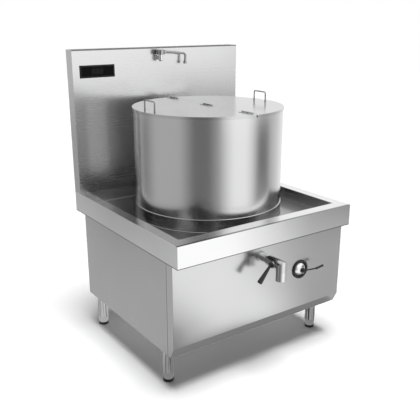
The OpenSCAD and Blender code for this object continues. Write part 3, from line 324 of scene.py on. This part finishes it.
plainFinishes = {
    "blackPlastic": {"dark": (0.012, 0.012, 0.013), "light": (0.020, 0.020, 0.021), "skin": (900, 900, 900),
                     "rough": (0.32, 0.46), "bite": 0.12},
    "soleRubber": {"dark": (0.010, 0.010, 0.010), "light": (0.018, 0.018, 0.018), "skin": (700, 700, 700),
                   "rough": (0.55, 0.75), "bite": 0.25},
    "windowPlastic": {"dark": (0.002, 0.002, 0.002), "light": (0.004, 0.004, 0.004),
                      "skin": (300, 300, 300), "rough": (0.12, 0.18), "bite": 0.02, "gloss": 0.06},
    "framePlastic": {"dark": (0.003, 0.003, 0.003), "light": (0.006, 0.006, 0.006), "skin": (900, 900, 900),
                     "rough": (0.30, 0.40), "bite": 0.08, "gloss": 0.10},
    "trimGrey": {"dark": (0.10, 0.10, 0.10), "light": (0.13, 0.13, 0.13), "skin": (900, 900, 900),
                 "rough": (0.35, 0.45), "bite": 0.05, "gloss": 0.3},
    "segmentGrey": {"dark": (0.011, 0.009, 0.009), "light": (0.015, 0.012, 0.012), "skin": (600, 600, 600),
                    "rough": (0.35, 0.45), "bite": 0.05},
    "markPaint": {"dark": (0.42, 0.42, 0.41), "light": (0.50, 0.50, 0.49), "skin": (900, 900, 900),
                  "rough": (0.45, 0.60), "bite": 0.10},
    "boardGreen": {"dark": (0.010, 0.085, 0.032), "light": (0.022, 0.125, 0.050), "skin": (500, 500, 500),
                   "rough": (0.28, 0.42), "bite": 0.10},
    "framePaint": {"dark": (0.10, 0.104, 0.108), "light": (0.13, 0.134, 0.138), "skin": (320, 320, 320),
                   "rough": (0.42, 0.58), "bite": 0.20},
    "windingCopper": {"dark": (0.52, 0.22, 0.10), "light": (0.70, 0.32, 0.16), "skin": (500, 500, 500),
                      "rough": (0.26, 0.40), "bite": 0.10, "metal": 1.0},
    "ferriteGrey": {"dark": (0.018, 0.018, 0.020), "light": (0.030, 0.030, 0.033), "skin": (700, 700, 700),
                    "rough": (0.50, 0.68), "bite": 0.25},
    "woolWhite": {"dark": (0.60, 0.585, 0.54), "light": (0.74, 0.725, 0.68), "skin": (160, 160, 160),
                  "rough": (0.85, 0.98), "bite": 0.7, "depth": 0.002},
    "micaBoard": {"dark": (0.30, 0.24, 0.15), "light": (0.42, 0.34, 0.23), "skin": (220, 220, 220),
                  "rough": (0.50, 0.68), "bite": 0.2},
    "sealWhite": {"dark": (0.72, 0.72, 0.70), "light": (0.80, 0.80, 0.78), "skin": (600, 600, 600),
                  "rough": (0.38, 0.50), "bite": 0.06},
    "probeBrass": {"dark": (0.50, 0.36, 0.13), "light": (0.62, 0.46, 0.18), "skin": (500, 500, 500),
                   "rough": (0.22, 0.36), "bite": 0.08, "metal": 1.0},
    "fanPlastic": {"dark": (0.016, 0.016, 0.017), "light": (0.026, 0.026, 0.027), "skin": (800, 800, 800),
                   "rough": (0.36, 0.50), "bite": 0.12},
    "switchIvory": {"dark": (0.50, 0.45, 0.33), "light": (0.58, 0.53, 0.40), "skin": (700, 700, 700),
                    "rough": (0.38, 0.52), "bite": 0.10},
}
finishes = {name: steel(name, spec) for name, spec in steelFinishes.items()}
finishes.update({name: skin(name, spec) for name, spec in plainFinishes.items()})
slotFinish = {
    "satin_steel": "worktopSteel", "pot_steel": "potSteel", "polished_steel": "polishedSteel",
    "black_plastic": "blackPlastic",
    "sole_rubber": "soleRubber", "dark_window": "windowPlastic", "circuit_board": "boardGreen",
    "frame_paint": "framePaint",
    "case_zinc": "zincSheet", "sink_aluminium": "sinkAluminium", "copper": "windingCopper",
    "ferrite": "ferriteGrey",
    "mineral_wool": "woolWhite", "mica_board": "micaBoard", "valve_seal": "sealWhite",
    "probe_brass": "probeBrass",
    "fan_plastic": "fanPlastic", "switch_plastic": "switchIvory",
}
nodeFinish = {
    "backsplash_front": "splashSteel", "backsplash_cover": "splashSteel", "front_panel": "frontSteel",
    "back_panel": "frontSteel",
    "left_panel": "sideSteel", "right_panel": "sideSteel", "lid_right": "lidSteel", "lid_left": "lidSteel",
    "pot_collar": "collarSteel",
    "display_frame": "framePlastic", "tap_spout": "rodSteel", "aerator": "rodSteel", "tap_head": "rodSteel",
    "legs": "legSteel",
    "lid_handle_right": "rodSteel", "lid_handle_left": "rodSteel", "lid_hinge_pins": "lidSteel",
    "valve_body": "castSteel",
}


def finishOf(node):
    return finishes[nodeFinish.get(node, slotFinish[nodeSlots[node]])]


for node, part in cadNodes.items():
    part.data.materials.clear()
    part.data.materials.append(finishOf(node))
print("finishes made:", len(finishes))


# making and placing pieces
def addPiece(bm, name, material, body, sharp=40):
    mesh = bpy.data.meshes.new(name)
    bm.to_mesh(mesh)
    bm.free()
    for face in mesh.polygons:
        face.use_smooth = True
    mesh.set_sharp_from_angle(angle=math.radians(sharp))
    mesh.materials.append(material)
    piece = bpy.data.objects.new(name, mesh)
    scene.collection.objects.link(piece)
    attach(piece, body)
    return piece


def flatWalls(mesh, narrow):  # wide walls stay dead flat, the narrow folds between them turn smoothly
    faces = mesh.polygons
    span = [max((mesh.vertices[a].co - mesh.vertices[b].co).length for a,
                b in face.edge_keys) for face in faces]
    wide = [face.area / max(length, 1e-9) > narrow for face, length in zip(faces, span)]
    around = [[] for vertex in mesh.vertices]
    for face in faces:
        for corner in face.vertices:
            around[corner].append(face.index)
    normals = []
    for face in faces:
        for corner in face.vertices:
            near = [faces[other] for other in around[corner] if faces[other].normal.dot(face.normal) > 0.7]
            walls = [other for other in near if wide[other.index]]
            if wide[face.index]:
                normals.append(face.normal.copy())
            elif walls:
                normals.append(max(walls, key=lambda other: other.normal.dot(face.normal)).normal.copy())
            else:
                normals.append(sum((other.normal for other in near), Vector()).normalized())
    mesh.normals_split_custom_set(normals)


def bevelEdges(bm, edges, width, segments):
    if edges:
        bmesh.ops.bevel(bm, geom=edges, offset=width, offset_type="OFFSET", affect="EDGES",
                        segments=segments,
                        profile=0.5, material=-1, clamp_overlap=True, loop_slide=False)


def sharpEdges(bm, angle):
    return [edge for edge in bm.edges if edge.is_manifold and edge.calc_face_angle(0) > math.radians(angle)]


def isFold(edge, thin):
    length = max(edge.calc_length(), 1e-9)
    return all(face.calc_area() / length > thin for face in edge.link_faces)


# folded sheet: a copy of the node, its folds rounded and its cut edges eased
foldRules = {"merge": 1e-5, "flat": 0.5, "foldAngle": 30, "easeAngle": 50, "sheetFace": 0.0045,
             "narrowWall": 0.0025}
foldedSheets = {
    "worktop": {"fold": 0.0030, "ease": 0.0004},
    "front_panel": {"fold": 0.0025, "ease": 0.0003},
    "left_panel": {"fold": 0.0020, "ease": 0.0003},
    "right_panel": {"fold": 0.0020, "ease": 0.0003},
    "back_panel": {"fold": 0.0, "ease": 0.0004},
    "floor_panel": {"fold": 0.0, "ease": 0.0003},
    "backsplash_front": {"fold": 0.0025, "ease": 0.0003},
    "backsplash_cover": {"fold": 0.0015, "ease": 0.0003},
    "display_frame": {"fold": 0.0008, "ease": 0.0003},
    "display_window": {"fold": 0.0003, "ease": 0.0},
    "inverter_case": {"fold": 0.0015, "ease": 0.0003},
}


def foldSheet(node, spec):
    bm = bmesh.new()
    bm.from_mesh(cadNodes[node].data)
    bmesh.ops.remove_doubles(bm, verts=bm.verts, dist=foldRules["merge"])
    bmesh.ops.dissolve_limit(bm, angle_limit=math.radians(foldRules["flat"]), verts=bm.verts,
                             edges=bm.edges)
    sharp = sharpEdges(bm, foldRules["foldAngle"])
    if spec["fold"]:
        bevelEdges(bm, [edge for edge in sharp if isFold(edge, foldRules["sheetFace"])], spec["fold"], 4)
    if spec["ease"]:
        bevelEdges(bm, sharpEdges(bm, foldRules["easeAngle"]), spec["ease"], 1)
    name = node.split("_")[0] + "".join(word.capitalize() for word in node.split("_")[1:]) + "Sheet"
    piece = addPiece(bm, name, finishOf(node), cadNodes[node]["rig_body"])
    flatWalls(piece.data, foldRules["narrowWall"])
    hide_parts(node)
    return piece


for node, spec in foldedSheets.items():
    piece = foldSheet(node, spec)
    print("folded sheet:", piece.name, len(piece.data.polygons))


# display: unlit segments behind the window's face
displayDigits = {"count": 3, "height": 0.024, "width": 0.013, "stroke": 0.0022, "pitch": 0.021,
                 "proud": 0.0002, "slant": 0.12}


def addDisplayDigits(spec):
    low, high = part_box("display_window")
    middle = (low + high) / 2
    bm = bmesh.new()
    half, wide, stroke = spec["height"] / 2, spec["width"], spec["stroke"]
    bars = [(0, half, 1), (0, 0, 1), (0, -half, 1), (-wide / 2, half / 2, 0), (wide / 2, half / 2, 0),
            (-wide / 2, -half / 2, 0), (wide / 2, -half / 2, 0)]
    for digit in range(spec["count"]):
        shiftX = (digit - (spec["count"] - 1) / 2) * spec["pitch"]
        for barX, barZ, flat in bars:
            length = (wide if flat else half) - stroke * 1.3
            made = bmesh.ops.create_cube(bm, size=1.0)["verts"]
            size = (length, spec["proud"] * 2, stroke) if flat else (stroke, spec["proud"] * 2, length)
            bmesh.ops.scale(bm, vec=size, verts=made)
            bmesh.ops.translate(bm, vec=(middle.x + shiftX + barX + barZ * spec["slant"], low.y,
                                         middle.z + barZ), verts=made)
            ends = {e for v in made for e in v.link_edges}
            ends = [e for e in ends if abs((e.verts[0].co - e.verts[1].co).y) > 1e-5]
            bevelEdges(bm, ends, stroke * 0.3, 2)
    addPiece(bm, "displaySegments", finishes["segmentGrey"], "stove", 30)


addDisplayDigits(displayDigits)


# display: the frame's thin paler inner edge
displayTrim = {"inset": 0.0045, "width": 0.0011, "proud": 0.0003}


def addDisplayTrim(spec):
    low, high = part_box("display_frame")
    bm = bmesh.new()
    corners = []
    for grow in (0.0, spec["width"]):
        inset = spec["inset"] + grow
        places = ((low.x + inset, low.z + inset), (high.x - inset, low.z + inset),
                  (high.x - inset, high.z - inset), (low.x + inset, high.z - inset))
        corners.append([bm.verts.new((x, low.y, z)) for x, z in places])
    faces = [bm.faces.new((corners[0][i], corners[0][(i + 1) % 4], corners[1][(i + 1) % 4],
                           corners[1][i])) for i in range(4)]
    grown = bmesh.ops.extrude_face_region(bm, geom=faces)["geom"]
    bmesh.ops.translate(bm, vec=(0, -spec["proud"], 0),
                        verts=[v for v in grown if isinstance(v, bmesh.types.BMVert)])
    bmesh.ops.recalc_face_normals(bm, faces=bm.faces)
    front = low.y - spec["proud"] * 0.5
    outer = [e for e in bm.edges if all(v.co.y < front for v in e.verts)]
    outer = [e for e in outer if e.calc_face_angle(0) > math.radians(60)]
    bevelEdges(bm, outer, spec["proud"] * 0.4, 2)
    addPiece(bm, "displayTrim", finishes["trimGrey"], "stove", 30)


addDisplayTrim(displayTrim)


# ring marks round the power selector
selectorMarks = {"count": 10, "from": 0, "to": 150, "radius": 0.0410, "length": 0.0045, "width": 0.0009,
                 "depth": 0.0012}


def addSelectorMarks(spec):
    low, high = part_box("selector_ring")
    centre = (low + high) / 2
    bm = bmesh.new()
    for step in range(spec["count"] + 1):
        turn = math.radians(spec["from"] + (spec["to"] - spec["from"]) * step / spec["count"])
        made = bmesh.ops.create_cube(bm, size=1.0)["verts"]
        bmesh.ops.scale(bm, vec=(spec["length"], spec["depth"], spec["width"]), verts=made)
        bmesh.ops.translate(bm, vec=(spec["radius"], 0, 0), verts=made)
        bmesh.ops.rotate(bm, verts=made, cent=(0, 0, 0), matrix=Matrix.Rotation(-turn, 3, "Y"))
        bmesh.ops.translate(bm, vec=(centre.x, low.y + spec["depth"] / 2 - 0.00015, centre.z), verts=made)
    addPiece(bm, "selectorMarks", finishes["markPaint"], "stove", 30)


addSelectorMarks(selectorMarks)


# hinge rivets on the lid's leaves
hingeRivets = {"radius": 0.0026, "height": 0.0011, "along": (-0.028, 0.0, 0.028), "pitch": 0.305,
               "inset": 0.0142, "leafTop": 1.1875}


def addHingeRivets(name, side, body, spec):
    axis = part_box("lid_hinge_pins")
    axisX = (axis[0].x + axis[1].x) / 2
    middleY = (axis[0].y + axis[1].y) / 2
    bm = bmesh.new()
    for hinge in (-1, 0, 1):
        for along in spec["along"]:
            made = bmesh.ops.create_cone(bm, cap_ends=True, segments=20, radius1=spec["radius"],
                                         radius2=spec["radius"] * 0.62,
                                         depth=spec["height"])["verts"]
            place = (axisX + side * spec["inset"], middleY + hinge * spec["pitch"] + along,
                     spec["leafTop"] + spec["height"] / 2)
            bmesh.ops.translate(bm, vec=place, verts=made)
    middle = spec["leafTop"] + spec["height"] * 0.5
    rims = [e for e in bm.edges if min(v.co.z for v in e.verts) > middle]
    rims = [e for e in rims if e.calc_face_angle(0) > math.radians(30)]
    bevelEdges(bm, rims, spec["height"] * 0.3, 2)
    addPiece(bm, name, finishes["lidSteel"], body)


addHingeRivets("hingeRivetsRight", 1, "lid", hingeRivets)
addHingeRivets("hingeRivetsLeft", -1, "lid_flap", hingeRivets)
print("lid rivets set")


# hoods over the back panel's louvre slots
louvreHoods = {"columns": (0.0, 0.195), "rows": 7, "width": 0.150, "lowest": 0.459, "step": 0.0225,
               "slot": 0.007, "reach": 0.0075, "sheet": 0.0009, "rise": 0.0012, "off": 0.0002,
               "turns": 7}


def addLouvreHoods(spec):
    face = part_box("back_panel")[1].y
    bm = bmesh.new()
    for column in spec["columns"]:
        for row in range(spec["rows"]):
            top = spec["lowest"] + row * spec["step"] + spec["slot"] + spec["rise"]
            first = [bm.verts.new((column + side * spec["width"], face + spec["off"], top)) for side in (0,
            1)]
            line = bm.edges.new(first)
            bmesh.ops.spin(bm, geom=[line, *first], cent=(0, face + spec["off"], top - spec["reach"]),
                           axis=(1, 0, 0), dvec=(0, 0, 0),
                           angle=math.radians(-90), steps=spec["turns"], use_duplicate=False)
    bmesh.ops.remove_doubles(bm, verts=bm.verts, dist=1e-6)
    bmesh.ops.recalc_face_normals(bm, faces=bm.faces)
    piece = addPiece(bm, "louvreHoods", finishes["frontSteel"], "stove")
    wall = piece.modifiers.new("wall", "SOLIDIFY")
    wall.thickness = spec["sheet"]
    wall.offset = 0.0


addLouvreHoods(louvreHoods)
print("louvre hoods set")


# studio: white surroundings, pale floor, soft lamps and grey cards for the metal to show
studio = {"ambient": 0.10, "floorTone": 0.94, "floorLift": 0.02}
overhead = {"strength": 3.25, "angle": 26, "tilt": (8, 0, 0)}
backFlag = {"size": (1.7, 0.46), "place": (0.70, 1.90, 1.63), "turn": 0, "tone": 0.06, "glow": 0.0}
# grey walls with a few soft cards, each with one round tone, placed so that the steel is light and dark
# about where it is in the photo; azimuth in degrees and height in metres are each a card's middle, its
# half width and its soft edge
cardRing = {"steps": 96,
            "profile": ((0.34, 0.0015), (0.755, 0.003), (0.76, 0.014), (0.765, 0.1), (1.0, 0.115),
                        (1.35, 0.16), (1.75, 0.34), (2.08, 0.65), (2.32, 1.05), (2.5, 1.6),
                        (2.58, 2.2), (2.6, 2.8)),
            "fade": (1.9, 2.7),
            "wall": 0.55,
            "cards": {"leftFlag": {"azimuth": (-135, 10, 20), "height": (1.0, 2.0, 0.1), "tone": 0.2},
                      "rightFlag": {"azimuth": (-40, 5, 15), "height": (0.7, 0.2, 0.3), "tone": 0.2},
                      "backFlagLow": {"azimuth": (125, 10, 20), "height": (0.6, 0.2, 0.3), "tone": 0.3},
                      "rightReflector": {"azimuth": (50, 40, 40), "height": (1.0, 2.0, 0.1), "tone": 1.0},
                      "frontSoftbox": {"azimuth": (-80, 10, 20), "height": (1.0, 2.0, 0.1), "tone": 1.2},
                      "highSoftbox": {"azimuth": (-65, 25, 20), "height": (2.0, 0.9, 0.3), "tone": 1.4},
                      "floorFlag": {"azimuth": (-90, 60, 30), "height": (0.0, 0.004, 0.008), "tone": 0.3}}}


def isSeen(tree):
    rays = tree.nodes.new("ShaderNodeLightPath")
    both = mathOn(tree, "MAXIMUM", rays.outputs["Is Camera Ray"], rays.outputs["Is Glossy Ray"])
    return mathOn(tree, "MAXIMUM", both, rays.outputs["Is Transmission Ray"])


def addWorld(spec):
    world = bpy.data.worlds.new("studioWhite")
    scene.world = world
    world.use_nodes = True
    tree = world.node_tree
    tree.nodes["Background"].inputs["Color"].default_value = (1, 1, 1, 1)
    strength = spreadOn(tree, isSeen(tree), spec["ambient"], 1.0, 0.0, 1.0)
    tree.links.new(strength, tree.nodes["Background"].inputs["Strength"])


def addFloor(spec):
    bm = bmesh.new()
    bmesh.ops.create_grid(bm, x_segments=2, y_segments=2, size=14.0)
    bmesh.ops.translate(bm, vec=(0, 0, -0.0004), verts=bm.verts)
    mesh = bpy.data.meshes.new("studioFloor")
    bm.to_mesh(mesh)
    bm.free()
    floor = bpy.data.objects.new("studioFloor", mesh)
    scene.collection.objects.link(floor)
    material, tree, shader = blankMaterial("floorPaper", {"Roughness": 0.9, "Specular IOR Level": 0.0})
    shader.inputs["Base Color"].default_value = (*grey(spec["floorTone"]), 1.0)
    shader.inputs["Emission Color"].default_value = (1, 1, 1, 1)
    tree.links.new(mathOn(tree, "MULTIPLY", isSeen(tree), spec["floorLift"]),
                   shader.inputs["Emission Strength"])
    mesh.materials.append(material)


def cardReach(tree, place, middle, half, edge):
    away = mathOn(tree, "ABSOLUTE", mathOn(tree, "SUBTRACT", place, middle), 0.0)
    return spreadOn(tree, away, 1.0, 0.0, half, half + edge)


def addCardRing(spec):
    bm = bmesh.new()
    line = [bm.verts.new((radius, 0, height)) for radius, height in spec["profile"]]
    edges = [bm.edges.new(pair) for pair in zip(line, line[1:])]
    bmesh.ops.spin(bm, geom=[*line, *edges], cent=(0, 0, 0), axis=(0, 0, 1), dvec=(0, 0, 0), angle=math.tau,
                   steps=spec["steps"], use_merge=True)
    mesh = bpy.data.meshes.new("studioCards")
    bm.to_mesh(mesh)
    bm.free()
    cards = bpy.data.objects.new("studioCards", mesh)
    scene.collection.objects.link(cards)
    material = bpy.data.materials.new("cardTones")
    material.use_nodes = True
    tree = material.node_tree
    tree.nodes.clear()
    around = tree.nodes.new("ShaderNodeTexGradient")
    around.gradient_type = "RADIAL"
    tree.links.new(objectPattern(tree, (1, 1, 1)), around.inputs["Vector"])
    split = tree.nodes.new("ShaderNodeSeparateXYZ")
    tree.links.new(objectPattern(tree, (1, 1, 1)), split.inputs["Vector"])
    azimuth = spreadOn(tree, around.outputs["Fac"], -180, 180, 0.0, 1.0)
    tones = spec["wall"]
    for card in spec["cards"].values():
        mask = mathOn(tree, "MINIMUM", cardReach(tree, azimuth, *card["azimuth"]),
                      cardReach(tree, split.outputs["Z"], *card["height"]))
        tones = mathOn(tree, "ADD", mathOn(tree, "MULTIPLY", tones, mathOn(tree, "SUBTRACT", 1.0, mask)),
                       mathOn(tree, "MULTIPLY", mask, card["tone"]))
    rise = spreadOn(tree, split.outputs["Z"], 0.0, 1.0, *spec["fade"])
    glow = tree.nodes.new("ShaderNodeEmission")
    tree.links.new(tones, glow.inputs["Strength"])
    clear = tree.nodes.new("ShaderNodeBsdfTransparent")
    mix = tree.nodes.new("ShaderNodeMixShader")
    out = tree.nodes.new("ShaderNodeOutputMaterial")
    tree.links.new(rise, mix.inputs["Fac"])
    tree.links.new(glow.outputs["Emission"], mix.inputs[1])
    tree.links.new(clear.outputs["BSDF"], mix.inputs[2])
    tree.links.new(mix.outputs["Shader"], out.inputs["Surface"])
    mesh.materials.append(material)
    cards.visible_camera = cards.visible_diffuse = cards.visible_shadow = cards.visible_transmission = False


def addCard(name, spec):
    bm = bmesh.new()
    bmesh.ops.create_grid(bm, x_segments=1, y_segments=1, size=0.5)
    bmesh.ops.scale(bm, vec=(*spec["size"], 1), verts=bm.verts)
    bmesh.ops.rotate(bm, verts=bm.verts, cent=(0, 0, 0), matrix=Matrix.Rotation(math.radians(90), 3, "X"))
    bmesh.ops.rotate(bm, verts=bm.verts, cent=(0, 0, 0), matrix=Matrix.Rotation(math.radians(spec["turn"]),
    3, "Z"))
    bmesh.ops.translate(bm, vec=spec["place"], verts=bm.verts)
    mesh = bpy.data.meshes.new(name)
    bm.to_mesh(mesh)
    bm.free()
    card = bpy.data.objects.new(name, mesh)
    scene.collection.objects.link(card)
    material, tree, shader = blankMaterial(name + "Face", {"Roughness": 1.0, "Specular IOR Level": 0.0})
    shader.inputs["Base Color"].default_value = (*grey(spec["tone"]), 1.0)
    shader.inputs["Emission Color"].default_value = (1, 1, 1, 1)
    shader.inputs["Emission Strength"].default_value = spec["glow"]
    mesh.materials.append(material)
    card.visible_camera = card.visible_diffuse = card.visible_shadow = card.visible_transmission = False


def addOverhead(spec):
    data = bpy.data.lights.new("overheadLamp", "SUN")
    data.energy = spec["strength"]
    data.angle = math.radians(spec["angle"])
    lamp = bpy.data.objects.new("overheadLamp", data)
    scene.collection.objects.link(lamp)
    lamp.rotation_euler = [math.radians(turn) for turn in spec["tilt"]]
    lamp.visible_glossy = False


addWorld(studio)
addFloor(studio)
addCardRing(cardRing)
addCard("backFlag", backFlag)
addOverhead(overhead)
scene.view_settings.view_transform = "Standard"
print("studio set")
